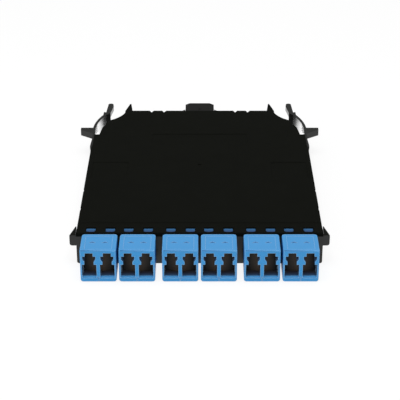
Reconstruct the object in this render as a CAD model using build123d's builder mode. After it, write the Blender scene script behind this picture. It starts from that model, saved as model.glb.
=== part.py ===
"""A slim fibre patching cassette: a tray and cover, six duplex adapters, port shutters and release latches."""

import os
from math import atan2, cos, hypot, radians, sin, tan

from build123d import *

os.makedirs("parts", exist_ok=True)

# Case, in millimetres. Distances called "behind" run from the case's front face to the rear.
case_depth = 109.6
case_height = 12.4
side_margin = 2.3
floor_thickness = 1.2
cover_thickness = 1.6
wall_thickness = 1.6
tray_edge_radius = 0.8
cover_edge_radius = 0.6
cover_seat_gap = 0.05

# Duplex adapters: the head stands out in front, the neck passes through the bulkhead
head_width = 12.5
head_length = 13.0
pair_gap = 0.9
group_gap = 2.45
port_pitch = 6.25
head_bottom_radius = 0.9
head_top_radius = 0.35
head_rear_radius = 1.2
head_front_chamfer = 0.25
head_face_gap = 1.3
head_rear_wall = 0.8
neck_inset = 0.2
neck_roof = 1.1
neck_length = 13.0
flange_overhang = 0.45
flange_thickness = 1.5
slot_gap = 0.08

# Port seen from the front: a body square, two guide ribs, a latch channel and a latch slot
lip_height = 2.0
port_half_width = 2.3
mouth_relief = 0.2
port_roof_wall = 1.1
rib_bottom = 4.8
rib_shoulder = 5.9
rib_half_width = 1.62
rib_top = 6.8
rib_depth = 3.4
channel_half_width = 2.25
channel_top = 8.0
latch_slot_half_width = 1.38
port_axis_height = 2.32
mid_wall_thickness = 1.5
lip_bevel_height = 0.5
lip_bevel_depth = 0.8
seam_width = 0.3
seam_depth = 0.25
top_recess_half_width = 4.7
top_recess_front = 11.9
top_recess_length = 9.2
top_recess_depth = 0.08
top_mark_offset = 2.2
top_mark_width = 2.3
top_mark_length = 0.95
top_mark_depth = 0.15

# Sleeves, ferrules and inner plugs
sleeve_outer_radius = 0.81
sleeve_bore_radius = 0.635
sleeve_length = 6.8
sleeve_slit = 0.3
sleeve_gap = 0.02
boss_radius = 1.45
boss_lip_length = 0.25
boss_lip_radius = 0.68
ferrule_radius = 0.625
ferrule_tip_gap = 0.03
ferrule_flange_radius = 1.4
ferrule_flange_length = 1.8
plug_side = 4.52
plug_gap = 0.15
plug_length = 13.6
plug_bore_radius = 1.55
plug_bore_depth = 7.0
plug_latch_half_width = 1.25
plug_latch_thickness = 0.6
plug_latch_rise = 1.9
plug_latch_setback = 1.5
plug_latch_length = 10.0
rear_slot_height = 7.6
boot_length = 9.0
boot_base_radius = 1.9
boot_tip_radius = 0.9
boot_seat = 1.2
fibre_radius = 0.45
fibre_gap = 0.1

# Port shutters: a thin leaf on a pin at the partition, folding into a recess when a plug enters
shutter_thickness = 0.25
shutter_pin_radius = 0.2
shutter_pin_gap = 0.04
shutter_pin_inset = 0.25
shutter_recess = 0.5
shutter_behind_ribs = 0.45
shutter_closed_tilt = 8.0
shutter_side_gap = 0.3
shutter_end_gap = 0.12
shutter_pin_seat = 0.4
shutter_fold_gap = 0.25

# Windows in the cover, with the adapters' locking bumps standing in them
window_half_pitch = 3.46
window_width = 3.5
window_length = 3.3
window_front = 0.7
window_corner_radius = 1.2
bump_gap = 0.12
bump_drop_front = 0.25
bump_drop_rear = 0.55

# Surface of the cover
front_band_length = 7.5
front_band_drop = 0.08
side_recess_front = 43.7
side_recess_length = 14.3
side_recess_width = 13.9
side_recess_margin = 2.0
side_recess_depth = 0.12
side_pip_length = 0.9
side_pip_width = 0.5
side_pip_inset = 0.35
rear_recess_from_rear = 34.15
rear_recess_length = 9.4
rear_recess_half_width = 19.3
rear_recess_depth = 0.12
recess_corner_radius = 0.5
gate_mark_behind = 55.4
gate_mark_radius = 0.8
gate_mark_depth = 0.2

# Snap hooks under the cover and the marks they leave on its edge
side_snaps_behind = [19.0, 34.0]
rear_snap_offset = 17.75
snap_width = 3.0
snap_thickness = 1.0
snap_length = 4.8
snap_barb = 0.5
snap_barb_height = 0.9
snap_gap = 0.15
edge_notch_length = 2.6
edge_notch_depth = 0.45
rear_notch_offset = 2.65
rear_notch_width = 2.3
rear_notch_depth = 2.4

# Pips on the front wall
wall_pip_offset = 0.9
wall_pip_radius = 0.22
wall_pip_height = 0.2
wall_pip_z = 5.3

# Rear corners of the case: sides measured in from the case's side, places forward from its rear edge
cover_slot_inset = 0.35
cover_slot_run = 3.0
corner_inset = 2.4
corner_start = 24.65
corner_bend_inset = 3.2
corner_bend = 17.6
corner_knee_inset = 4.8
corner_knee = 13.2
corner_point_inset = 6.2
corner_point = 10.0
corner_wall_setback = 0.6
horn_sweep_in = 3.8
horn_sweep = 6.1
horn_root_inset = 11.9
horn_root = 1.7
horn_inner_inset = 15.0
horn_tip_inset = 13.9
horn_tip_width = 0.5
horn_reach = 7.6

# Front stop lugs
lug_reach = 2.35
lug_length = 6.8
lug_top_drop = 1.15
lug_height = 4.05
lug_root = 1.0
lug_slit = 0.4
lug_tip_width = 0.25
lug_cover_gap = 0.05
lug_corner_radius = 0.9

# Latch arms, each on a post of the tray
arm_thickness = 1.0
arm_top_gap = 0.3
arm_floor_gap = 0.3
arm_seam = 0.25
arm_pivot_from_rear = 35.95
arm_barrel_radius = 1.7
arm_post_radius = 0.8
arm_post_gap = 0.05
arm_pocket_gap = 0.3
arm_root_length = 1.45
arm_root_out = 0.42
# Blade behind its pivot: out from the case's side, past the case's rear edge, and its thickness there
arm_stations = [
    (0.56, -26.5, 1.0),
    (0.65, -20.1, 1.05),
    (0.85, -14.4, 1.15),
    (0.07, -8.2, 1.17),
    (-1.11, -4.0, 1.19),
    (-2.49, -0.7, 1.21),
]
# Thick end of the blade and the finger knob: out from the case's side, and past its rear edge
arm_end_outer = (-2.61, 2.5)
arm_end_inner = (-5.46, 1.4)
knob_root_inner = (-4.4, 0.4)
knob_root_outer = (-3.51, 1.3)
knob_outer_start = (-3.62, 3.3)
knob_outer_end = (-4.01, 10.4)
knob_tip = (-5.04, 11.8)
knob_inner_end = (-6.2, 10.8)
knob_inner_bend = (-6.44, 8.5)
knob_height = 1.9
tooth_reach = 5.85
tooth_height = 2.6
tooth_from_rear = 14.1
tooth_outer_length = 2.0
tooth_inner_length = 6.0

# Multi-fibre adapter at the rear, its inner plug and the fan-out
mpo_width = 12.2
mpo_cover_gap = 0.1
mpo_length = 27.0
mpo_reach = 12.0
mpo_bottom = 1.5
mpo_cavity_width = 10.2
mpo_cavity_height = 7.4
mpo_edge_width = 1.8
mpo_edge_drop = 0.7
mpo_key_width = 2.6
mpo_key_depth = 0.6
mpo_wall_thickness = 2.6
mpo_flange_overhang = 1.2
mpo_flange_thickness = 1.6
mpo_pip_behind_case = 5.6
mpo_pip_radius = 0.4
mpo_pip_height = 0.15
mpo_gusset = 1.4
ferrule_block_width = 6.4
ferrule_block_height = 2.5
ferrule_block_length = 8.0
ferrule_block_gap = 0.1
guide_pin_radius = 0.35
guide_pin_half_pitch = 2.3
guide_pin_length = 9.5
guide_pin_gap = 0.02
mpo_plug_gap = 0.15
mpo_plug_length = 17.0
mpo_boot_length = 9.0
mpo_boot_width = 6.0
mpo_boot_height = 4.0
ribbon_width = 3.1
ribbon_thickness = 0.4
ribbon_gap = 0.1
ribbon_free_length = 9.0
fanout_length = 12.0
fanout_height = 5.6
fanout_bottom = 2.2
fanout_pitch = 2.0
fanout_margin = 1.6
fanout_fibre_depth = 4.0
fanout_ribbon_depth = 5.0
fanout_pad_gap = 0.05
fibre_lead_out = 7.5
fibre_lead_in = 5.5
fibre_bend_share = 0.9

# Places worked out from the sizes above
pair_pitch = head_width + pair_gap
group_pitch = 2 * head_width + pair_gap + group_gap
half_width = group_pitch + (pair_pitch + head_width) / 2 + side_margin
cover_underside = case_height - cover_thickness
wall_top = cover_underside - cover_seat_gap
mpo_rear_behind = case_depth + mpo_reach
rear_reach = max(case_depth + knob_tip[1], mpo_rear_behind)
front_y = (head_length - rear_reach) / 2
head_top = case_height
mouth_half_width = port_half_width + mouth_relief
port_floor = lip_height
port_roof = head_top - port_roof_wall
port_height = port_roof - port_floor
port_axis_z = port_floor + port_axis_height
neck_bottom = floor_thickness + slot_gap
neck_top = cover_underside - 2 * cover_seat_gap
neck_width = head_width - 2 * neck_inset
adapter_centres = [
    group * group_pitch + side * pair_pitch / 2 for group in (-1, 0, 1) for side in (-1, 1)
]
bulkhead_rear = wall_thickness + flange_thickness + 2 * slot_gap
mid_rear = mid_wall_thickness / 2
mid_front = -mid_rear
chamber_rear = -head_face_gap - head_rear_wall
plug_front = mid_rear + plug_gap
plug_rear = plug_front + plug_length
mpo_height = cover_underside - mpo_cover_gap - mpo_bottom
mpo_flange_rear = case_depth - wall_thickness - slot_gap
mpo_wall_front = mpo_flange_rear - mpo_wall_thickness
mpo_wall_middle = mpo_flange_rear - mpo_wall_thickness / 2
mpo_plug_rear = mpo_wall_front - mpo_plug_gap
mpo_plug_front = mpo_plug_rear - mpo_plug_length
mpo_boot_front = mpo_plug_front - mpo_boot_length
fanout_rear = mpo_boot_front - ribbon_free_length
fanout_front = fanout_rear - fanout_length
fibre_turn_out_behind = plug_rear + boot_length + fibre_lead_out
fibre_turn_in_behind = fanout_front - fibre_lead_in
arm_pivot_behind = case_depth - arm_pivot_from_rear
arm_slot_front = arm_pivot_behind - arm_barrel_radius - arm_pocket_gap
horn_root_side = half_width - horn_root_inset


def along(behind):
    """The Y of a point that lies this far behind the case's front face."""
    return front_y + behind


def facing_front(behind):
    """A plane across the case whose normal looks to the front, so extruding a minus length goes rearwards."""
    return Plane.XZ.offset(-along(behind))


def finish(part, name):
    """Labels a piece and writes its file."""
    part.label = name
    export_step(part, f"parts/{name}.step")


def block(low, high, mode=Mode.ADD):
    """A box between two corners, made on the floor plane of its lower corner."""
    with BuildSketch(Plane.XY.offset(low[2])) as base:
        with Locations(((low[0] + high[0]) / 2, (low[1] + high[1]) / 2)):
            Rectangle(high[0] - low[0], high[1] - low[1])
    extrude(base.sketch, amount=high[2] - low[2], mode=mode)


def rod(centre_x, centre_z, radius, start_behind, length, mode=Mode.ADD):
    """A round rod or bore that starts at one distance behind the front and runs rearwards."""
    with BuildSketch(facing_front(start_behind)) as end:
        with Locations((centre_x, centre_z)):
            Circle(radius)
    extrude(end.sketch, amount=-length, mode=mode)


def case_outline(corner):
    """Plan of the case: straight sides, then the given run of corner points, then a swept rear corner."""
    with BuildSketch() as outline:
        with BuildLine():
            run = Polyline(
                (0, along(0)),
                (half_width, along(0)),
                (half_width, along(arm_slot_front)),
                *[(side_x, along(behind)) for side_x, behind in corner],
            )
            sweep_in = ThreePointArc(
                run @ 1,
                (corner[-1][0] - horn_sweep_in, along(case_depth - horn_sweep)),
                (horn_root_side, along(case_depth - horn_root)),
            )
            Polyline(sweep_in @ 1, (horn_root_side, along(case_depth)), (0, along(case_depth)), (0, along(0)))
        make_face()
        mirror(about=Plane.YZ)
    return outline.sketch


def horn_outline():
    """Plan of the two pointed horns at the rear corners."""
    horn_inner_side = half_width - horn_inner_inset
    horn_tip_side = half_width - horn_tip_inset
    with BuildSketch() as horns:
        with BuildLine():
            Polyline(
                (horn_inner_side, along(case_depth - wall_thickness)),
                (horn_root_side, along(case_depth - horn_root - wall_thickness / 2)),
                (horn_root_side, along(case_depth)),
                (horn_tip_side + horn_tip_width / 2, along(case_depth + horn_reach)),
                (horn_tip_side - horn_tip_width / 2, along(case_depth + horn_reach)),
                (horn_inner_side, along(case_depth)),
                close=True,
            )
        make_face()
        mirror(about=Plane.YZ)
    return horns.sketch


def collar_outline():
    """Plan of the gussets each side of the rear adapter, with a foot inside the case's rear edge."""
    inner_side = mpo_slot_width / 2
    with BuildSketch() as gussets:
        with BuildLine():
            Polyline(
                (inner_side, along(case_depth - wall_thickness / 2)),
                (inner_side + mpo_gusset, along(case_depth - wall_thickness / 2)),
                (inner_side + mpo_gusset, along(case_depth)),
                (inner_side, along(case_depth + mpo_gusset)),
                close=True,
            )
        make_face()
        mirror(about=Plane.YZ)
    return gussets.sketch


def window_outline(shrink):
    """Plan of the twelve windows, or of the bumps that stand in them with a gap all round."""
    with BuildSketch() as windows:
        with Locations(
            *[
                (centre + side * window_half_pitch, along(window_front + window_length / 2))
                for centre in adapter_centres
                for side in (-1, 1)
            ]
        ):
            add(window_shape(shrink))
    return windows.sketch


def window_shape(shrink):
    """One window: a straight rear edge and round front corners."""
    with BuildSketch() as shape:
        Rectangle(window_width - 2 * shrink, window_length - 2 * shrink)
        fillet(shape.vertices().group_by(Axis.Y)[0], window_corner_radius - shrink)
    return shape.sketch


# Tray
slot_floor_x = half_width - arm_thickness - arm_seam
arm_pivot_x = half_width - arm_barrel_radius
pocket_x = arm_pivot_x - arm_barrel_radius - arm_pocket_gap
rear_corner = [
    (half_width - corner_inset, case_depth - corner_start),
    (half_width - corner_bend_inset, case_depth - corner_bend),
    (half_width - corner_knee_inset, case_depth - corner_knee),
    (half_width - corner_point_inset, case_depth - corner_point),
]
floor_corner = [(slot_floor_x, arm_slot_front), (slot_floor_x, case_depth - corner_start), *rear_corner]
# the cover reaches out over the slots of the arms, which turn beneath it
cover_side = half_width - cover_slot_inset
cover_corner = [
    (cover_side, arm_slot_front + cover_slot_run),
    (cover_side, case_depth - corner_start),
    *rear_corner,
]
wall_corner = [
    (pocket_x, arm_slot_front),
    (pocket_x, case_depth - corner_bend),
    (half_width - corner_knee_inset - corner_wall_setback, case_depth - corner_knee),
    (half_width - corner_point_inset - corner_wall_setback, case_depth - corner_point),
]
slot_width = neck_width + 2 * slot_gap
flange_width = neck_width + 2 * flange_overhang
snap_window_height = snap_barb_height + 2 * snap_gap
snap_window_low = cover_underside - snap_length - snap_gap
mpo_slot_width = mpo_width + 2 * slot_gap
mpo_rib_front = mpo_flange_rear - mpo_flange_thickness - slot_gap - wall_thickness
mpo_rib_half_length = mpo_width / 2 + mpo_flange_overhang + 2 * wall_thickness
fanout_width = 11 * fanout_pitch + 2 * fanout_margin
lug_top = case_height - lug_top_drop
lug_bottom = lug_top - lug_height

with BuildPart() as base_tray:
    with BuildSketch():
        add(case_outline(floor_corner))
        add(horn_outline())
    extrude(amount=floor_thickness)
    with BuildSketch(Plane.XY.offset(floor_thickness)):
        add(case_outline(wall_corner))
        offset(amount=-wall_thickness, kind=Kind.INTERSECTION, mode=Mode.SUBTRACT)
        add(horn_outline())
    extrude(amount=wall_top - floor_thickness)
    # long bottom edges, rounded
    bottom_edges = base_tray.edges().filter_by(Axis.Y).group_by(Axis.Z)[0]
    fillet([edge for edge in bottom_edges if abs(edge.center().X) > half_width - 0.01], tray_edge_radius)
    # second bulkhead, which holds the adapter flanges against the front wall
    block(
        (-half_width + wall_thickness / 2, along(bulkhead_rear), floor_thickness),
        (half_width - wall_thickness / 2, along(bulkhead_rear + wall_thickness), wall_top),
    )
    # slots that the adapter necks drop into
    for centre in adapter_centres:
        block(
            (centre - slot_width / 2, along(-1), floor_thickness),
            (centre + slot_width / 2, along(bulkhead_rear + 2 * wall_thickness), case_height),
            Mode.SUBTRACT,
        )
    # pairs of small pips on the front wall, in the wide gaps between the adapters
    for side in (-1, 1):
        for step in (-1, 1):
            pip_x = side * group_pitch / 2 + step * wall_pip_offset
            rod(pip_x, wall_pip_z, wall_pip_radius, -wall_pip_height, wall_pip_height + wall_thickness / 2)
    # ribs that hold the flange of the rear adapter against the rear wall
    block(
        (-mpo_rib_half_length, along(mpo_rib_front), floor_thickness),
        (mpo_rib_half_length, along(mpo_rib_front + wall_thickness), wall_top),
    )
    with BuildSketch():
        add(collar_outline())
    extrude(amount=wall_top)
    block(
        (-mpo_slot_width / 2, along(mpo_rib_front - 1), mpo_bottom - slot_gap),
        (mpo_slot_width / 2, along(case_depth + 2 * mpo_gusset), case_height),
        Mode.SUBTRACT,
    )
    # pad under the fan-out block, with a low fence behind it
    block(
        (-fanout_width / 2, along(fanout_front), floor_thickness),
        (fanout_width / 2, along(fanout_front + fanout_length), fanout_bottom - fanout_pad_gap),
    )
    for side in (-1, 1):
        fence_inner = fanout_width / 2 + slot_gap
        block(
            (min(side * fence_inner, side * (fence_inner + wall_thickness)), along(fanout_front), floor_thickness),
            (
                max(side * fence_inner, side * (fence_inner + wall_thickness)),
                along(fanout_front + fanout_length),
                fanout_bottom + fanout_height / 2,
            ),
        )
    # windows for the snap hooks in the side walls and the rear wall
    for behind in side_snaps_behind:
        block(
            (-half_width - 1, along(behind - snap_width / 2 - snap_gap), snap_window_low),
            (half_width + 1, along(behind + snap_width / 2 + snap_gap), snap_window_low + snap_window_height),
            Mode.SUBTRACT,
        )
    for side in (-1, 1):
        block(
            (
                side * rear_snap_offset - snap_width / 2 - snap_gap,
                along(case_depth - 1.5 * wall_thickness),
                snap_window_low,
            ),
            (
                side * rear_snap_offset + snap_width / 2 + snap_gap,
                along(case_depth + 1),
                snap_window_low + snap_window_height,
            ),
            Mode.SUBTRACT,
        )
    # stop lugs: a block with a round lower corner, cut to a wedge and slit from the wall behind its root
    with BuildSketch(facing_front(0)) as lug_view:
        with BuildLine():
            Polyline(
                (half_width - wall_thickness / 2, lug_bottom),
                (half_width + lug_reach, lug_bottom),
                (half_width + lug_reach, lug_top),
                (half_width + lug_cover_gap, lug_top),
                (half_width + lug_cover_gap, wall_top),
                (half_width - wall_thickness / 2, wall_top),
                close=True,
            )
        make_face()
        fillet(lug_view.vertices().group_by(Axis.X)[-1].sort_by(Axis.Z)[0], lug_corner_radius)
        mirror(about=Plane.YZ)
    extrude(amount=-lug_length)
    with BuildSketch(Plane.XY.offset(lug_bottom - 1)):
        with BuildLine():
            Polyline(
                (half_width + lug_reach, along(0)),
                (half_width + lug_slit + lug_tip_width, along(lug_length)),
                (half_width + lug_slit + lug_tip_width, along(lug_length + 1)),
                (half_width + lug_reach + 1, along(lug_length + 1)),
                (half_width + lug_reach + 1, along(0)),
                close=True,
            )
        make_face()
        with Locations((half_width + lug_slit / 2, along((lug_root + lug_length + 1) / 2))):
            Rectangle(lug_slit, lug_length + 1 - lug_root)
        mirror(about=Plane.YZ)
    extrude(amount=lug_height + 2, mode=Mode.SUBTRACT)
    # posts that the latch arms turn on
    with BuildSketch(Plane.XY.offset(floor_thickness / 2)):
        with Locations((arm_pivot_x, along(arm_pivot_behind)), (-arm_pivot_x, along(arm_pivot_behind))):
            Circle(arm_post_radius)
    extrude(amount=wall_top - floor_thickness / 2)
finish(base_tray.part, "base_tray")

# Cover
side_recess_outer = half_width - side_recess_margin
side_recess_inner = side_recess_outer - side_recess_width
side_recess_rear = side_recess_front + side_recess_length
side_recess_mid = (side_recess_front + side_recess_rear) / 2
rear_recess_mid = case_depth - rear_recess_from_rear + rear_recess_length / 2
side_pip_x = side_recess_inner + side_pip_inset + side_pip_length / 2
side_pip_behind = side_recess_rear - side_pip_inset - side_pip_width / 2
snap_inner_x = half_width - wall_thickness - snap_gap
rear_snap_face = case_depth - wall_thickness - snap_gap

with BuildPart() as top_cover:
    with BuildSketch(Plane.XY.offset(cover_underside)):
        add(case_outline(cover_corner))
    extrude(amount=cover_thickness)
    fillet(top_cover.faces().sort_by(Axis.Z)[-1].edges(), cover_edge_radius)
    with BuildSketch(Plane.XY.offset(cover_underside)):
        add(horn_outline())
        add(collar_outline())
    extrude(amount=cover_thickness - cover_edge_radius / 2)
    # the front band lies a little lower than the rest
    block(
        (-half_width, along(-1), case_height - front_band_drop),
        (half_width, along(front_band_length), case_height + 1),
        Mode.SUBTRACT,
    )
    with BuildSketch(Plane.XY.offset(cover_underside)):
        add(window_outline(0))
    extrude(amount=cover_thickness, mode=Mode.SUBTRACT)
    # shallow recesses
    with BuildSketch(Plane.XY.offset(case_height)):
        for side in (-1, 1):
            with Locations((side * (side_recess_inner + side_recess_outer) / 2, along(side_recess_mid))):
                RectangleRounded(side_recess_width, side_recess_length, recess_corner_radius)
            # a small pip is left standing at the inner rear corner
            with Locations((side * side_pip_x, along(side_pip_behind))):
                Rectangle(side_pip_length, side_pip_width, mode=Mode.SUBTRACT)
    extrude(amount=-side_recess_depth, mode=Mode.SUBTRACT)
    with BuildSketch(Plane.XY.offset(case_height)):
        with Locations((0, along(rear_recess_mid))):
            RectangleRounded(2 * rear_recess_half_width, rear_recess_length, recess_corner_radius)
    extrude(amount=-rear_recess_depth, mode=Mode.SUBTRACT)
    with BuildSketch(Plane.XY.offset(case_height)):
        with Locations((0, along(gate_mark_behind))):
            Circle(gate_mark_radius)
    extrude(amount=-gate_mark_depth, mode=Mode.SUBTRACT)
    # notches that free the snap hooks, at the sides and the rear edge
    for behind in side_snaps_behind:
        for side in (-1, 1):
            notch_edges = sorted((side * (half_width - edge_notch_depth), side * (half_width + 1)))
            block(
                (notch_edges[0], along(behind - edge_notch_length / 2), cover_underside),
                (notch_edges[1], along(behind + edge_notch_length / 2), case_height),
                Mode.SUBTRACT,
            )
    with BuildSketch(Plane.XY.offset(cover_underside)):
        for side in (-1, 1):
            for step in (-1, 1):
                notch_x = side * rear_snap_offset + step * rear_notch_offset
                with BuildLine():
                    Polyline(
                        (notch_x - rear_notch_width / 2, along(case_depth + 0.1)),
                        (notch_x, along(case_depth - rear_notch_depth)),
                        (notch_x + rear_notch_width / 2, along(case_depth + 0.1)),
                        close=True,
                    )
                make_face()
    extrude(amount=cover_thickness, mode=Mode.SUBTRACT)
    # snap hooks with their barbs
    for behind in side_snaps_behind:
        for side in (-1, 1):
            leg = sorted((side * snap_inner_x, side * (snap_inner_x - snap_thickness)))
            barb = sorted((side * (snap_inner_x - snap_thickness / 2), side * (snap_inner_x + snap_barb)))
            low_y = along(behind - snap_width / 2)
            high_y = along(behind + snap_width / 2)
            low_z = cover_underside - snap_length
            block((leg[0], low_y, low_z), (leg[1], high_y, cover_underside + cover_thickness / 2))
            block((barb[0], low_y, low_z), (barb[1], high_y, low_z + snap_barb_height))
    for side in (-1, 1):
        low_x = side * rear_snap_offset - snap_width / 2
        high_x = side * rear_snap_offset + snap_width / 2
        low_z = cover_underside - snap_length
        block(
            (low_x, along(rear_snap_face - snap_thickness), low_z),
            (high_x, along(rear_snap_face), cover_underside + cover_thickness / 2),
        )
        block(
            (low_x, along(rear_snap_face - snap_thickness / 2), low_z),
            (high_x, along(rear_snap_face + snap_barb), low_z + snap_barb_height),
        )
finish(top_cover.part, "top_cover")

# Latch arms
arm_bottom = floor_thickness + arm_floor_gap
arm_top = cover_underside - arm_top_gap
tooth_low = arm_top - tooth_height
tooth_root = arm_stations[2][0] - arm_thickness / 2
blade = [
    (0, -arm_pivot_from_rear - arm_root_length, arm_thickness),
    (arm_root_out, -arm_pivot_from_rear, arm_thickness),
    *arm_stations,
]


def latch_arm(name, side):
    """One latch arm: a barrel on the tray's post, a tall flexible blade, a tooth and a finger knob."""

    def plan(out, past_rear):
        """A plan point, so far outside the case's side and so far past its rear edge."""
        return (side * (half_width + out), along(case_depth + past_rear))

    outer = [plan(out, past_rear) for out, past_rear, thickness in blade]
    inner = [plan(out - thickness, past_rear) for out, past_rear, thickness in blade]
    barrel_place = (side * arm_pivot_x, along(arm_pivot_behind))
    with BuildPart() as arm:
        # the blade is as tall as the case's inside, and thickens into its end
        with BuildSketch(Plane.XY.offset(arm_bottom)):
            with BuildLine():
                Spline(*outer)
                Polyline(outer[-1], plan(*arm_end_outer), plan(*arm_end_inner), inner[-1])
                Spline(*reversed(inner))
                Line(inner[0], outer[0])
            make_face()
        extrude(amount=arm_top - arm_bottom)
        # finger knob, at the top only
        with BuildSketch(Plane.XY.offset(arm_top - knob_height)):
            with BuildLine():
                Polyline(
                    plan(*knob_inner_end),
                    plan(*knob_inner_bend),
                    plan(*arm_end_inner),
                    plan(*knob_root_inner),
                    plan(*knob_root_outer),
                    plan(*knob_outer_start),
                    plan(*knob_outer_end),
                )
                ThreePointArc(plan(*knob_outer_end), plan(*knob_tip), plan(*knob_inner_end))
            make_face()
        extrude(amount=knob_height)
        # catch tooth, square at its rear and sloped at its front
        with BuildSketch(Plane.XY.offset(tooth_low)):
            with BuildLine():
                Polyline(
                    plan(tooth_root, -tooth_from_rear),
                    plan(tooth_reach, -tooth_from_rear),
                    plan(tooth_reach, -tooth_from_rear - tooth_outer_length),
                    plan(tooth_root, -tooth_from_rear - tooth_inner_length),
                    close=True,
                )
            make_face()
        extrude(amount=tooth_height)
        # barrel and its bore
        with BuildSketch(Plane.XY.offset(arm_bottom)):
            with Locations(barrel_place):
                Circle(arm_barrel_radius)
        extrude(amount=arm_top - arm_bottom)
        with BuildSketch(Plane.XY.offset(arm_bottom - 1)):
            with Locations(barrel_place):
                Circle(arm_post_radius + arm_post_gap)
        extrude(amount=arm_top - arm_bottom + 2, mode=Mode.SUBTRACT)
    finish(arm.part, name)


latch_arm("latch_arm_left", -1)
latch_arm("latch_arm_right", 1)


# Adapters
def port_profile():
    """Front outline of one port about its own axis, with its floor at zero."""
    with BuildSketch() as profile:
        with BuildLine():
            Polyline(
                (0, 0),
                (mouth_half_width, 0),
                (mouth_half_width, rib_bottom),
                (rib_half_width, rib_bottom),
                (rib_half_width, rib_shoulder),
                (channel_half_width, rib_top),
                (channel_half_width, channel_top),
                (latch_slot_half_width, channel_top),
                (latch_slot_half_width, port_height),
                (0, port_height),
                close=True,
            )
        make_face()
        mirror(about=Plane.YZ)
    return profile.sketch


rib_rear = -head_length + rib_depth
shutter_pivot_behind = rib_rear + shutter_behind_ribs
shutter_length = 2 * port_half_width + shutter_pin_inset - shutter_side_gap
shutter_recess_rear = shutter_pivot_behind + shutter_length + shutter_fold_gap
boss_half_length = sleeve_length / 2 + sleeve_gap + boss_lip_length
sleeve_seat_half_length = sleeve_length / 2 + sleeve_gap
pin_hole_radius = shutter_pin_radius + shutter_pin_gap
bump_low = neck_top - wall_thickness / 4


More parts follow.
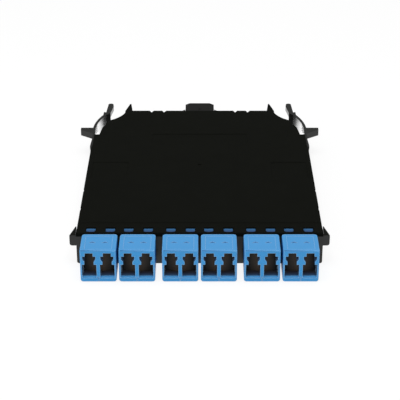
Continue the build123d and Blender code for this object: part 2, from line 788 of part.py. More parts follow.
def duplex_adapter(name, centre):
    """One duplex adapter: head, neck and flange, with two through ports and their sleeve bosses."""
    ports = [(centre + side * port_pitch / 2, -side) for side in (-1, 1)]
    floor_places = [(port_x, port_floor) for port_x, _ in ports]
    with BuildPart() as adapter:
        # head: its plan has round rear corners and its front view has round lower corners
        with BuildSketch():
            with Locations((centre, along(-(head_length + head_face_gap) / 2))):
                plan = Rectangle(head_width, head_length - head_face_gap)
            fillet(plan.vertices().group_by(Axis.Y)[-1], head_rear_radius)
        extrude(amount=head_top)
        with BuildSketch(facing_front(-head_length)) as front_view:
            with Locations((centre, head_top / 2)):
                Rectangle(head_width, head_top)
            fillet(front_view.vertices().group_by(Axis.Y)[0], head_bottom_radius)
            fillet(front_view.vertices().group_by(Axis.Y)[-1], head_top_radius)
        extrude(amount=-head_length, mode=Mode.INTERSECT)
        chamfer(adapter.faces().sort_by(Axis.Y)[0].edges(), head_front_chamfer)
        # neck and flange
        block(
            (centre - neck_width / 2, along(chamber_rear), neck_bottom),
            (centre + neck_width / 2, along(neck_length), neck_top),
        )
        block(
            (centre - flange_width / 2, along(wall_thickness + slot_gap), neck_bottom),
            (centre + flange_width / 2, along(wall_thickness + slot_gap + flange_thickness), neck_top),
        )
        # locking bumps, which slope down to the rear
        with BuildSketch(Plane.XY.offset(bump_low)):
            for side in (-1, 1):
                with Locations((centre + side * window_half_pitch, along(window_front + window_length / 2))):
                    add(window_shape(bump_gap))
        extrude(amount=case_height - bump_low)
        with BuildSketch(Plane.YZ.offset(centre)):
            with BuildLine():
                Polyline(
                    (along(0), case_height - bump_drop_front),
                    (along(window_front + window_length), case_height - bump_drop_rear),
                    (along(window_front + window_length), case_height + 1),
                    (along(0), case_height + 1),
                    close=True,
                )
            make_face()
        extrude(amount=head_width / 2, both=True, mode=Mode.SUBTRACT)
        # front ports: ribbed mouth, then a plain chamber, lower under the neck's roof as far as the mid wall
        with BuildSketch(facing_front(-head_length)):
            with Locations(*floor_places):
                add(port_profile())
        extrude(amount=-rib_depth, mode=Mode.SUBTRACT)
        for port_x, partition in ports:
            block(
                (port_x - port_half_width, along(rib_rear), port_floor),
                (port_x + port_half_width, along(chamber_rear), port_roof),
                Mode.SUBTRACT,
            )
            block(
                (port_x - port_half_width, along(chamber_rear), port_floor),
                (port_x + port_half_width, along(mid_front), neck_top - neck_roof),
                Mode.SUBTRACT,
            )
            # rear port, open to the inside of the case
            block(
                (port_x - plug_side / 2 - slot_gap, along(mid_rear), port_floor),
                (port_x + plug_side / 2 + slot_gap, along(neck_length + 1), port_floor + rib_bottom),
                Mode.SUBTRACT,
            )
            block(
                (port_x - latch_slot_half_width, along(mid_rear), port_floor),
                (port_x + latch_slot_half_width, along(neck_length + 1), port_floor + rear_slot_height),
                Mode.SUBTRACT,
            )
            # recess in the partition for the open shutter, and the holes for its pin
            wall_x = port_x + partition * port_half_width
            recess = sorted((wall_x, wall_x + partition * shutter_recess))
            block(
                (recess[0], along(rib_rear), port_floor),
                (recess[1], along(shutter_recess_rear), port_roof),
                Mode.SUBTRACT,
            )
            with BuildSketch(Plane.XY.offset(port_floor - shutter_pin_seat)):
                with Locations((wall_x + partition * shutter_pin_inset, along(shutter_pivot_behind))):
                    Circle(pin_hole_radius)
            extrude(amount=port_height + 2 * shutter_pin_seat, mode=Mode.SUBTRACT)
            # sleeve boss
            rod(port_x, port_axis_z, boss_radius, -boss_half_length, 2 * boss_half_length)
            rod(port_x, port_axis_z, boss_lip_radius, -boss_half_length, 2 * boss_half_length, Mode.SUBTRACT)
            rod(
                port_x,
                port_axis_z,
                sleeve_outer_radius + sleeve_gap,
                -sleeve_seat_half_length,
                2 * sleeve_seat_half_length,
                Mode.SUBTRACT,
            )
            # bevel along the front of the port floor
            with BuildSketch(Plane.YZ.offset(port_x)):
                with BuildLine():
                    Polyline(
                        (along(-head_length), port_floor - lip_bevel_height),
                        (along(-head_length + lip_bevel_depth), port_floor),
                        (along(-head_length), port_floor),
                        close=True,
                    )
                make_face()
            extrude(amount=mouth_half_width, both=True, mode=Mode.SUBTRACT)
        # seam line under the partition
        block(
            (centre - seam_width / 2, along(-head_length), 0),
            (centre + seam_width / 2, along(-head_length + seam_depth), port_floor),
            Mode.SUBTRACT,
        )
        # shallow field on the top with two small pointed marks
        block(
            (centre - top_recess_half_width, along(-top_recess_front), head_top - top_recess_depth),
            (centre + top_recess_half_width, along(-top_recess_front + top_recess_length), head_top + 1),
            Mode.SUBTRACT,
        )
        with BuildSketch(Plane.XY.offset(head_top - top_recess_depth)):
            mark_y = along(-top_recess_front + top_recess_length / 2)
            for side in (-1, 1):
                mark_x = centre + side * top_mark_offset
                with BuildLine():
                    Polyline(
                        (mark_x - top_mark_width / 2, mark_y),
                        (mark_x + top_mark_width / 2, mark_y),
                        (mark_x, mark_y + top_mark_length),
                        close=True,
                    )
                make_face()
        extrude(amount=-top_mark_depth, mode=Mode.SUBTRACT)
    finish(adapter.part, name)


for number, centre in enumerate(adapter_centres, start=1):
    duplex_adapter(f"adapter_{number}", centre)

# Ports from left to right: the port's axis, and the side on which its partition lies
ports = [(centre + side * port_pitch / 2, -side) for centre in adapter_centres for side in (-1, 1)]


# Port shutters
def port_shutter(name, port_x, partition):
    """One shutter: a leaf on a pin beside the partition, closed with its free edge a little deeper."""
    pin_place = (
        port_x + partition * (port_half_width + shutter_pin_inset),
        along(shutter_pivot_behind),
    )
    tilt = radians(shutter_closed_tilt)
    run = (-partition * cos(tilt), sin(tilt))
    across = (-run[1], run[0])
    half = shutter_thickness / 2
    corners = [
        (pin_place[0] + run[0] * reach + across[0] * shift, pin_place[1] + run[1] * reach + across[1] * shift)
        for reach, shift in ((0, -half), (shutter_length, -half), (shutter_length, half), (0, half))
    ]
    with BuildPart() as shutter:
        with BuildSketch(Plane.XY.offset(port_floor + shutter_end_gap)):
            with BuildLine():
                Polyline(*corners, close=True)
            make_face()
        extrude(amount=port_height - 2 * shutter_end_gap)
        with BuildSketch(Plane.XY.offset(port_floor - shutter_pin_seat + shutter_pin_gap)):
            with Locations(pin_place):
                Circle(shutter_pin_radius)
        extrude(amount=port_height + 2 * shutter_pin_seat - 2 * shutter_pin_gap)
    finish(shutter.part, name)


for number, (port_x, partition) in enumerate(ports, start=1):
    port_shutter(f"shutter_{number}", port_x, partition)


# Split sleeves
def split_sleeve(name, port_x):
    """One ceramic sleeve, slit along its top."""
    with BuildPart() as sleeve:
        rod(port_x, port_axis_z, sleeve_outer_radius, -sleeve_length / 2, sleeve_length)
        rod(port_x, port_axis_z, sleeve_bore_radius, -sleeve_length / 2, sleeve_length, Mode.SUBTRACT)
        block(
            (port_x - sleeve_slit / 2, along(-sleeve_length / 2), port_axis_z),
            (port_x + sleeve_slit / 2, along(sleeve_length / 2), port_axis_z + 2 * sleeve_outer_radius),
            Mode.SUBTRACT,
        )
    finish(sleeve.part, name)


for number, (port_x, partition) in enumerate(ports, start=1):
    split_sleeve(f"split_sleeve_{number}", port_x)

# Inner plugs
plug_bore_rear = plug_front + plug_bore_depth
plug_top = port_axis_z + plug_side / 2
fibre_bore_radius = fibre_radius + fibre_gap


def inner_plug(name, port_x):
    """One inner plug: a square body bored for its ferrule and fibre, with a latch on its top."""
    latch_front = plug_front + plug_latch_setback
    latch_rear = latch_front + plug_latch_length
    with BuildPart() as plug:
        block(
            (port_x - plug_side / 2, along(plug_front), port_axis_z - plug_side / 2),
            (port_x + plug_side / 2, along(plug_rear), plug_top),
        )
        with BuildSketch(Plane.YZ.offset(port_x)):
            with BuildLine():
                Polyline(
                    (along(latch_front), plug_top - 0.1),
                    (along(latch_front), plug_top + plug_latch_thickness / 2),
                    (along(latch_rear), plug_top + plug_latch_rise),
                    (along(latch_rear), plug_top + plug_latch_rise - plug_latch_thickness),
                    (along(latch_front + 2 * plug_latch_thickness), plug_top - 0.1),
                    close=True,
                )
            make_face()
        extrude(amount=plug_latch_half_width, both=True)
        rod(port_x, port_axis_z, plug_bore_radius, plug_front, plug_bore_depth, Mode.SUBTRACT)
        rod(port_x, port_axis_z, fibre_bore_radius, plug_bore_rear, plug_length, Mode.SUBTRACT)
    finish(plug.part, name)


for number, (port_x, partition) in enumerate(ports, start=1):
    inner_plug(f"inner_plug_{number}", port_x)

# Ferrules, boots and fibres, one of each for every inner plug
ferrule_flange_front = plug_bore_rear - ferrule_flange_length - ferrule_tip_gap

with BuildPart() as ferrules:
    for port_x, partition in ports:
        rod(port_x, port_axis_z, ferrule_radius, ferrule_tip_gap, ferrule_flange_front - ferrule_tip_gap)
        rod(port_x, port_axis_z, ferrule_flange_radius, ferrule_flange_front, ferrule_flange_length)
finish(ferrules.part, "ferrules")

with BuildPart() as plug_boots:
    for port_x, partition in ports:
        with BuildSketch(Plane.YZ.offset(port_x)):
            with BuildLine():
                Polyline(
                    (along(plug_rear), port_axis_z + fibre_bore_radius),
                    (along(plug_rear), port_axis_z + boot_base_radius),
                    (along(plug_rear + boot_seat), port_axis_z + boot_base_radius),
                    (along(plug_rear + boot_length), port_axis_z + boot_tip_radius),
                    (along(plug_rear + boot_length), port_axis_z + fibre_bore_radius),
                    close=True,
                )
            make_face()
        revolve(axis=Axis((port_x, 0, port_axis_z), (0, 1, 0)))
finish(plug_boots.part, "plug_boots")

fibre_start = ferrule_flange_front + ferrule_flange_length
fibre_end = fanout_front + fanout_fibre_depth - fibre_gap
fanout_places = [(index - 5.5) * fanout_pitch for index in range(12)]


def bend_radius(straight_run, sideways):
    """The round bend that fits between a straight run and half of the run that crosses sideways."""
    forward = fibre_turn_in_behind - fibre_turn_out_behind
    room = min(straight_run, hypot(sideways, forward) / 2)
    return fibre_bend_share * room / tan(atan2(abs(sideways), forward) / 2)


with BuildPart() as pigtail_fibres:
    for (port_x, partition), fanout_x in zip(ports, fanout_places):
        route = [
            (port_x, along(fibre_start)),
            (port_x, along(fibre_turn_out_behind)),
            (fanout_x, along(fibre_turn_in_behind)),
            (fanout_x, along(fibre_end)),
        ]
        sideways = fanout_x - port_x
        radii = [
            bend_radius(fibre_turn_out_behind - plug_rear - boot_length, sideways),
            bend_radius(fanout_front - fibre_turn_in_behind, sideways),
        ]
        with BuildLine(Plane.XY.offset(port_axis_z)) as fibre_path:
            FilletPolyline(*route, radius=radii)
        with BuildSketch(facing_front(fibre_start)):
            with Locations((port_x, port_axis_z)):
                Circle(fibre_radius)
        sweep(path=fibre_path.line)
finish(pigtail_fibres.part, "pigtail_fibres")

# Fan-out block
mpo_axis_z = mpo_bottom + mpo_height / 2

with BuildPart() as fanout_block:
    block(
        (-fanout_width / 2, along(fanout_front), fanout_bottom),
        (fanout_width / 2, along(fanout_rear), fanout_bottom + fanout_height),
    )
    for fanout_x in fanout_places:
        rod(fanout_x, port_axis_z, fibre_bore_radius, fanout_front, fanout_fibre_depth, Mode.SUBTRACT)
    block(
        (
            -ribbon_width / 2 - ribbon_gap,
            along(fanout_rear - fanout_ribbon_depth),
            mpo_axis_z - ribbon_thickness / 2 - ribbon_gap,
        ),
        (
            ribbon_width / 2 + ribbon_gap,
            along(fanout_rear + 1),
            mpo_axis_z + ribbon_thickness / 2 + ribbon_gap,
        ),
        Mode.SUBTRACT,
    )
finish(fanout_block.part, "fanout_block")

# Multi-fibre adapter
mpo_front = mpo_rear_behind - mpo_length
mpo_cavity_low = mpo_axis_z - mpo_cavity_height / 2
ferrule_way_width = ferrule_block_width + 2 * ferrule_block_gap
ferrule_way_height = ferrule_block_height + 2 * ferrule_block_gap

with BuildPart() as mpo_adapter:
    mpo_top = mpo_bottom + mpo_height
    with BuildSketch(facing_front(mpo_front)):
        with BuildLine():
            Polyline(
                (0, mpo_bottom),
                (mpo_width / 2, mpo_bottom),
                (mpo_width / 2, mpo_top - mpo_edge_drop),
                (mpo_width / 2 - mpo_edge_width, mpo_top),
                (0, mpo_top),
                close=True,
            )
        make_face()
        mirror(about=Plane.YZ)
    extrude(amount=-mpo_length)
    chamfer(mpo_adapter.faces().sort_by(Axis.Y)[-1].edges(), head_front_chamfer)
    block(
        (-mpo_width / 2 - mpo_flange_overhang, along(mpo_flange_rear - mpo_flange_thickness), mpo_bottom),
        (mpo_width / 2 + mpo_flange_overhang, along(mpo_flange_rear), mpo_top),
    )
    block(
        (-mpo_cavity_width / 2, along(mpo_flange_rear), mpo_cavity_low),
        (mpo_cavity_width / 2, along(mpo_rear_behind), mpo_cavity_low + mpo_cavity_height),
        Mode.SUBTRACT,
    )
    block(
        (-mpo_cavity_width / 2, along(mpo_front), mpo_cavity_low),
        (mpo_cavity_width / 2, along(mpo_wall_front), mpo_cavity_low + mpo_cavity_height),
        Mode.SUBTRACT,
    )
    block(
        (-mpo_key_width / 2, along(mpo_flange_rear), mpo_cavity_low),
        (mpo_key_width / 2, along(mpo_rear_behind), mpo_cavity_low + mpo_cavity_height + mpo_key_depth),
        Mode.SUBTRACT,
    )
    with BuildSketch(facing_front(mpo_front)):
        with Locations((0, mpo_axis_z)):
            Rectangle(ferrule_way_width, ferrule_way_height)
    extrude(amount=-mpo_length, mode=Mode.SUBTRACT)
    with BuildSketch(Plane.XY.offset(mpo_top)):
        with Locations((0, along(case_depth + mpo_pip_behind_case))):
            Circle(mpo_pip_radius)
    extrude(amount=mpo_pip_height)
finish(mpo_adapter.part, "mpo_adapter")

# Inner multi-fibre plug with its ferrule, guide pins, boot and ribbon
ferrule_block_front = mpo_wall_middle - ferrule_block_length
ribbon_way_width = ribbon_width + 2 * ribbon_gap
ribbon_way_height = ribbon_thickness + 2 * ribbon_gap

with BuildPart() as mpo_plug:
    with BuildSketch(facing_front(mpo_plug_front)):
        with Locations((0, mpo_axis_z)):
            Rectangle(mpo_cavity_width - 2 * mpo_plug_gap, mpo_cavity_height - 2 * mpo_plug_gap)
    extrude(amount=-mpo_plug_length)
    with BuildSketch(facing_front(ferrule_block_front - ferrule_block_gap)):
        with Locations((0, mpo_axis_z)):
            Rectangle(ferrule_way_width, ferrule_way_height)
    extrude(amount=-mpo_plug_length, mode=Mode.SUBTRACT)
    with BuildSketch(facing_front(mpo_plug_front)):
        with Locations((0, mpo_axis_z)):
            Rectangle(ribbon_way_width, ribbon_way_height)
    extrude(amount=-mpo_plug_length, mode=Mode.SUBTRACT)
finish(mpo_plug.part, "mpo_plug")

with BuildPart() as mpo_ferrule:
    with BuildSketch(facing_front(ferrule_block_front)):
        with Locations((0, mpo_axis_z)):
            Rectangle(ferrule_block_width, ferrule_block_height)
    extrude(amount=-ferrule_block_length)
    for side in (-1, 1):
        rod(
            side * guide_pin_half_pitch,
            mpo_axis_z,
            guide_pin_radius + guide_pin_gap,
            ferrule_block_front,
            ferrule_block_length,
            Mode.SUBTRACT,
        )
finish(mpo_ferrule.part, "mpo_ferrule")

with BuildPart() as guide_pins:
    for side in (-1, 1):
        rod(side * guide_pin_half_pitch, mpo_axis_z, guide_pin_radius, ferrule_block_front, guide_pin_length)
finish(guide_pins.part, "guide_pins")

with BuildPart() as mpo_boot:
    with BuildSketch(facing_front(mpo_boot_front)):
        with Locations((0, mpo_axis_z)):
            RectangleRounded(mpo_boot_width, mpo_boot_height, mpo_boot_height / 4)
    extrude(amount=-mpo_boot_length)
    with BuildSketch(facing_front(mpo_boot_front)):
        with Locations((0, mpo_axis_z)):
            Rectangle(ribbon_way_width, ribbon_way_height)
    extrude(amount=-mpo_boot_length, mode=Mode.SUBTRACT)
finish(mpo_boot.part, "mpo_boot")

with BuildPart() as fibre_ribbon:
    block(
        (
            -ribbon_width / 2,
            along(fanout_rear - fanout_ribbon_depth + ribbon_gap),
            mpo_axis_z - ribbon_thickness / 2,
        ),
        (ribbon_width / 2, along(ferrule_block_front), mpo_axis_z + ribbon_thickness / 2),
    )
finish(fibre_ribbon.part, "fibre_ribbon")
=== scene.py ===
# %% [markdown]
# # A fibre cassette, dressed in Blender
# This cassette is a flat plastic case that slides into a rack shelf. Patch cords plug into the
# twelve ports across its front, and one thick trunk cable plugs into the block at its rear. The
# shapes come from solids that are made elsewhere in millimetres. This lesson loads them, gives
# every piece its finish, and sets up the light and the camera.

# %% Load the solids
from math import radians

import bpy
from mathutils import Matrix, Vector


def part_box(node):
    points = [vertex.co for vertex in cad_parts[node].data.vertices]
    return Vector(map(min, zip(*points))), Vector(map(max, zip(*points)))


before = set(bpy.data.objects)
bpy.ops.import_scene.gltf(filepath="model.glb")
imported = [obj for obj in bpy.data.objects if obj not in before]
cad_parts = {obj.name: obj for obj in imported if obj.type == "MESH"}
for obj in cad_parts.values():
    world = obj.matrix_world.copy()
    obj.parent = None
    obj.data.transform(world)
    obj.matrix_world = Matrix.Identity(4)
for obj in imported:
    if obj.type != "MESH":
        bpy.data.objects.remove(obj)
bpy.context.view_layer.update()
MM = 0.001
print("pieces loaded:", len(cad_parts))

# %% [markdown]
# ## Where things stand
# Later places are counted from two planes: the front of the adapters' heads, which is read from
# the box of a solid, and the case's front behind it. Reading beats typing, because the scene then
# follows the solids if these move.

# %% Places on the case
HEAD_LENGTH = 13.0 * MM
HEAD_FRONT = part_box("adapter_1")[0].y
CASE_FRONT = HEAD_FRONT + HEAD_LENGTH
print("adapter heads from y =", round(HEAD_FRONT / MM, 2), "mm")
print("case front at y =", round(CASE_FRONT / MM, 2), "mm")

# %% [markdown]
# ## The camera
# The view is a product shot: straight from the front, looking 27 degrees down, through a long lens
# so that the sides hardly narrow towards the rear. A real photographer would stand well back and
# zoom in.

# %% Camera
LENS_LENGTH = 118.2
SENSOR_WIDTH = 36
CAMERA_ASIDE = 0.14 * MM
CAMERA_BACK = 406.7 * MM
CAMERA_HEIGHT = 232.5 * MM
LOOK_DOWN = 27
camera_data = bpy.data.cameras.new("long lens")
camera_data.lens = LENS_LENGTH
camera_data.sensor_width = SENSOR_WIDTH
camera_data.clip_start = 0.01
camera_data.clip_end = 20
camera = bpy.data.objects.new("camera", camera_data)
bpy.context.scene.collection.objects.link(camera)
camera.location = (CAMERA_ASIDE, CASE_FRONT - CAMERA_BACK, CAMERA_HEIGHT)
camera.rotation_euler = (radians(90 - LOOK_DOWN), 0, 0)
bpy.context.scene.camera = camera
print("camera at", [round(v / MM, 1) for v in camera.location])

# %% [markdown]
# ## Small helpers for node trees
# A material in Blender is a small net of nodes. A few helpers keep the lines short: one adds a
# node and fills its sockets, one joins two sockets, and three add the nodes that are used most: a
# sum, a blend of two colours and a map from one range of values to another. The last helper turns
# a colour as a screen shows it into light values, because Blender mixes light and not screen
# colours.

# %% Node helpers
def add_node(tree, kind, **sockets):
    """Adds a node and sets the sockets that are named, with _ for a space."""
    node = tree.nodes.new(kind)
    for name, value in sockets.items():
        node.inputs[name.replace("_", " ")].default_value = value
    return node


def join(tree, start, output, end, socket):
    """Joins one node's output to another node's input."""
    tree.links.new(start.outputs[output], end.inputs[socket])


def sum_node(tree, operation, *values):
    """Adds a node for one sum, with fixed numbers for the inputs that aren't None."""
    node = tree.nodes.new("ShaderNodeMath")
    node.operation = operation
    for index, value in enumerate(values):
        if value is not None:
            node.inputs[index].default_value = value
    return node


def blend_node(tree, first=None, second=None):
    """Adds a node that blends two colours, of which either may be joined later."""
    node = tree.nodes.new("ShaderNodeMix")
    node.data_type = "RGBA"
    for socket, colour in (("A", first), ("B", second)):
        if colour:
            node.inputs[socket].default_value = colour
    return node


def map_node(tree, **limits):
    """Adds a node that maps one range of values onto another."""
    return add_node(tree, "ShaderNodeMapRange", **limits)


def linear(red, green, blue):
    """Turns a colour as a screen shows it, 0 to 255, into the light values that Blender works with."""
    def one(value):
        share = value / 255
        return share / 12.92 if share <= 0.04045 else ((share + 0.055) / 1.055) ** 2.4
    return (one(red), one(green), one(blue), 1.0)


print("black plastic in light values:", [round(v, 4) for v in linear(23, 24, 21)])

# %% [markdown]
# ## Moulded plastic
# Most of the cassette is injection moulded. The steel mould is spark eroded, which leaves a fine
# grain on the plastic, and its edges are never quite sharp. So one recipe serves all the plastics:
# a colour that drifts a little, a roughness that drifts too, a grain made by a small noise bump,
# and a Bevel node that rounds the edges for the light only. A texture image could do the same, but
# noise has no seams and no limit of detail. Two extras are for some plastics only. A fade leads
# the colour over to another one along an axis; below it paints shade and light into ports, bumps
# and flaps. A painted highlight makes the colour paler near the edges, where the normal of a Bevel
# node turns away from the flat normal of the face.

# %% Recipe for moulded plastic
FLOW_SCALE = 90.0
HANDLING_SCALE = 260.0
ROUGHNESS_DRIFT = 0.07
GRAIN_HEIGHT = 0.02 * MM
FADE_POWER = 0.6
BEVEL_SAMPLES = 6
FLAT_TURN = 0.999
EDGE_TURN = 0.90


def bevel_node(tree, radius_mm):
    """Adds a node whose normal is rounded near the edges."""
    node = add_node(tree, "ShaderNodeBevel", Radius=radius_mm * MM)
    node.samples = BEVEL_SAMPLES
    return node


def drifting_colour(tree, place, colour, drift):
    """A colour that drifts slowly between darker and lighter, as melt flow leaves it."""
    flow = add_node(tree, "ShaderNodeTexNoise", Scale=FLOW_SCALE, Detail=4.0, Roughness=0.6)
    join(tree, place, "Object", flow, "Vector")
    darker = tuple(v * (1 - drift) for v in colour[:3]) + (1.0,)
    lighter = tuple(min(1.0, v * (1 + drift)) for v in colour[:3]) + (1.0,)
    tint = blend_node(tree, darker, lighter)
    join(tree, flow, "Fac", tint, "Factor")
    return tint


def faded(tree, place, surface, fade):
    """Leads a colour over to another one between two places on an axis, quickly at first."""
    space, axis, start, end, end_colour = fade
    split = add_node(tree, "ShaderNodeSeparateXYZ")
    join(tree, place, space, split, "Vector")
    depth = map_node(tree, From_Min=start, From_Max=end)
    join(tree, split, axis, depth, "Value")
    quick_start = sum_node(tree, "POWER", None, FADE_POWER)
    join(tree, depth, "Result", quick_start, 0)
    blend = blend_node(tree, None, end_colour)
    join(tree, quick_start, 0, blend, "Factor")
    join(tree, surface, "Result", blend, "A")
    return blend


def with_painted_edge_highlight(tree, surface, painted_highlight):
    """Paints a highlight: makes a colour paler near the edges."""
    highlight_mm, highlight_share, highlight_colour = painted_highlight
    rounded = bevel_node(tree, highlight_mm)
    flat = add_node(tree, "ShaderNodeNewGeometry")
    turn = add_node(tree, "ShaderNodeVectorMath")
    turn.operation = "DOT_PRODUCT"
    join(tree, rounded, "Normal", turn, 0)
    join(tree, flat, "True Normal", turn, 1)
    highlight_weight = map_node(tree, From_Min=FLAT_TURN, From_Max=EDGE_TURN, To_Max=highlight_share)
    join(tree, turn, "Value", highlight_weight, "Value")
    blend = blend_node(tree, None, highlight_colour)
    join(tree, highlight_weight, "Result", blend, "Factor")
    join(tree, surface, "Result", blend, "A")
    return blend


def moulded_plastic(
    name, colour, roughness, shine, grain_mm, grain_depth, edge_mm, drift=0.12, fade=None, painted_highlight=None
):
    """A plastic with drifting colour and roughness, grain and softened edges, and if asked a fade or a painted
    edge highlight.
    """
    material = bpy.data.materials.new(name)
    material.use_nodes = True
    tree = material.node_tree
    shader = tree.nodes["Principled BSDF"]
    shader.inputs["Specular IOR Level"].default_value = shine
    place = add_node(tree, "ShaderNodeTexCoord")
    surface = drifting_colour(tree, place, colour, drift)
    if fade:
        surface = faded(tree, place, surface, fade)
    if painted_highlight:
        surface = with_painted_edge_highlight(tree, surface, painted_highlight)
    join(tree, surface, "Result", shader, "Base Color")
    # roughness drifts on a scale of its own
    handling = add_node(tree, "ShaderNodeTexNoise", Scale=HANDLING_SCALE, Detail=6.0, Roughness=0.65)
    join(tree, place, "Object", handling, "Vector")
    spread = map_node(tree, To_Min=roughness - ROUGHNESS_DRIFT, To_Max=roughness + ROUGHNESS_DRIFT)
    join(tree, handling, "Fac", spread, "Value")
    join(tree, spread, "Result", shader, "Roughness")
    # the eroded grain, laid over rounded edges
    grain = add_node(tree, "ShaderNodeTexNoise", Scale=1 / (grain_mm * MM), Detail=3.0, Roughness=0.55)
    join(tree, place, "Object", grain, "Vector")
    bump = add_node(tree, "ShaderNodeBump", Strength=grain_depth, Distance=GRAIN_HEIGHT)
    join(tree, grain, "Fac", bump, "Height")
    join(tree, bevel_node(tree, edge_mm), "Normal", bump, "Normal")
    join(tree, bump, "Normal", shader, "Normal")
    print(name, "made, roughness about", roughness)
    return material


# %% [markdown]
# ## The case plastics
# The cover is the flattest and dullest piece: it is eroded to a fine matte grain, so it looks
# almost black from above. The tray and the arms are the same resin. Their upright faces slide out
# of the mould, so these are smoother than the tops and mirror a bright table at a low angle. Two
# finishes, one for tops and one for sides, show that better than one finish halfway between.

# %% Case finishes
CASE_BLACK = linear(17, 18, 15)
cover_finish = moulded_plastic(
    "matte black cover", linear(19, 20, 17), 0.62, 0.004, 0.22, 0.35, 0.12
)
tray_top_finish = moulded_plastic(
    "grained black tray top", CASE_BLACK, 0.45, 0.012, 0.25, 0.25, 0.12
)
tray_side_finish = moulded_plastic(
    "satin black tray side", CASE_BLACK, 0.30, 0.40, 0.30, 0.12, 0.12
)
arm_top_finish = moulded_plastic("grained black arm top", CASE_BLACK, 0.35, 0.04, 0.25, 0.2, 0.12)
arm_side_finish = moulded_plastic(
    "polished black arm side", CASE_BLACK, 0.17, 0.50, 0.30, 0.05, 0.12
)

# %% [markdown]
# ## The adapter blue
# The blue of the adapters is a code: it tells the fitter which kind of fibre and polish is inside.
# The plastic is glossier than the case, because it comes from a polished mould that has to be
# exact around the ports. Its edges get a painted highlight: they are painted paler, as if they
# caught the light of the whole room. The walls inside a port are painted a darker blue that fades
# further towards the flap, painted shade for the little light that reaches them; the core pins of
# the mould leave them dull. The locking bumps in the cover's windows are rubbed duller when the
# cover snaps on, and their darker blue is painted shade that deepens towards the front, where the
# window's edge would shade them.

# %% Adapter finishes
ADAPTER_BLUE = linear(64, 153, 217)
# painted highlight: the edges of the blue are painted this paler blue
HIGHLIGHT_BLUE = linear(165, 205, 238)
PAINTED_EDGE_HIGHLIGHT = (0.35, 0.7, HIGHLIGHT_BLUE)
BUMP_FRONT = 1.4 * MM
BUMP_REAR = 4.0 * MM
MOUTH_DEPTH = 0.2 * MM
RIB_DEPTH = 3.4 * MM
# painted shade: the bump tops darken towards the front, where the window's front edge would shade them
bump_shade_fade = ("Object", "Y", CASE_FRONT + BUMP_REAR, CASE_FRONT + BUMP_FRONT, linear(38, 68, 112))
# painted shade: the port walls darken from the mouth towards the flap
port_shade_fade = ("Object", "Y", HEAD_FRONT + MOUTH_DEPTH, HEAD_FRONT + RIB_DEPTH, linear(84, 84, 96))
adapter_finish = moulded_plastic(
    "adapter blue", ADAPTER_BLUE, 0.38, 0.22, 0.30, 0.15, 0.12, drift=0.04, painted_highlight=PAINTED_EDGE_HIGHLIGHT
)
# painted shade: the floors of the sunk marks are a darker blue
mark_shade_finish = moulded_plastic(
    "mark blue with painted shade", linear(48, 112, 172), 0.5, 0.05, 0.30, 0.15, 0.1, drift=0.04
)
# painted shade: the bump tops are a darker blue than the head
bump_shade_finish = moulded_plastic(
    "bump blue with painted shade", linear(72, 128, 178), 0.5, 0.05, 0.30, 0.2, 0.12, drift=0.1, fade=bump_shade_fade
)
port_shade_finish = moulded_plastic(
    "port wall blue with painted shade", linear(56, 128, 188), 0.5, 0.05, 0.30, 0.15, 0.1, fade=port_shade_fade, painted_highlight=PAINTED_EDGE_HIGHLIGHT
)

# %% [markdown]
# ## The flaps
# A spring flap closes each port. Its colour carries painted light and shade: it is painted lighter
# beside its hinge, where some light slips in past the rib, and fades to a painted shade of nearly
# black at its free edge. The two flaps of an adapter mirror each other.

# %% Flap finishes
# painted light at the hinge and painted shade at the free edge
FLAP_PAINTED_LIGHT = linear(90, 76, 64)
FLAP_PAINTED_SHADE = linear(20, 26, 27)


def flap_finish(side, hinge, free_edge):
    """A charcoal painted lighter at the hinge and fading to painted shade at the free edge, both given as
    shares of the flap's width.
    """
    fade = ("Generated", "X", hinge, free_edge, FLAP_PAINTED_SHADE)
    return moulded_plastic(f"{side} flap charcoal with painted light", FLAP_PAINTED_LIGHT, 0.50, 0.15, 0.25, 0.2, 0.05, fade=fade)


left_flap_finish = flap_finish("left", 1.0, 0.0)
right_flap_finish = flap_finish("right", 0.0, 1.0)

# %% [markdown]
# ## What is inside
# Nobody sees these pieces while the cover is on, but they are there: white ceramic sleeves and
# ferrules that line up the glass, blue plugs, pale boots, and twelve fibres that each have their
# own colour so that a fitter can tell them apart.

# %% Inner finishes
ceramic_finish = moulded_plastic(
    "white ceramic", linear(236, 234, 228), 0.18, 0.6, 0.10, 0.05, 0.04, drift=0.02
)
plug_finish = moulded_plastic(
    "plug blue", linear(70, 140, 205), 0.35, 0.4, 0.25, 0.15, 0.08, drift=0.05
)
boot_finish = moulded_plastic(
    "pale boot", linear(225, 225, 220), 0.55, 0.3, 0.20, 0.3, 0.08, drift=0.03
)
rear_finish = moulded_plastic("rear block black", linear(20, 20, 19), 0.55, 0.03, 0.25, 0.25, 0.12)
resin_finish = moulded_plastic("ground resin", linear(52, 54, 56), 0.30, 0.5, 0.08, 0.2, 0.04)
ribbon_finish = moulded_plastic(
    "ribbon jacket", linear(214, 180, 60), 0.45, 0.4, 0.15, 0.2, 0.05, drift=0.05
)


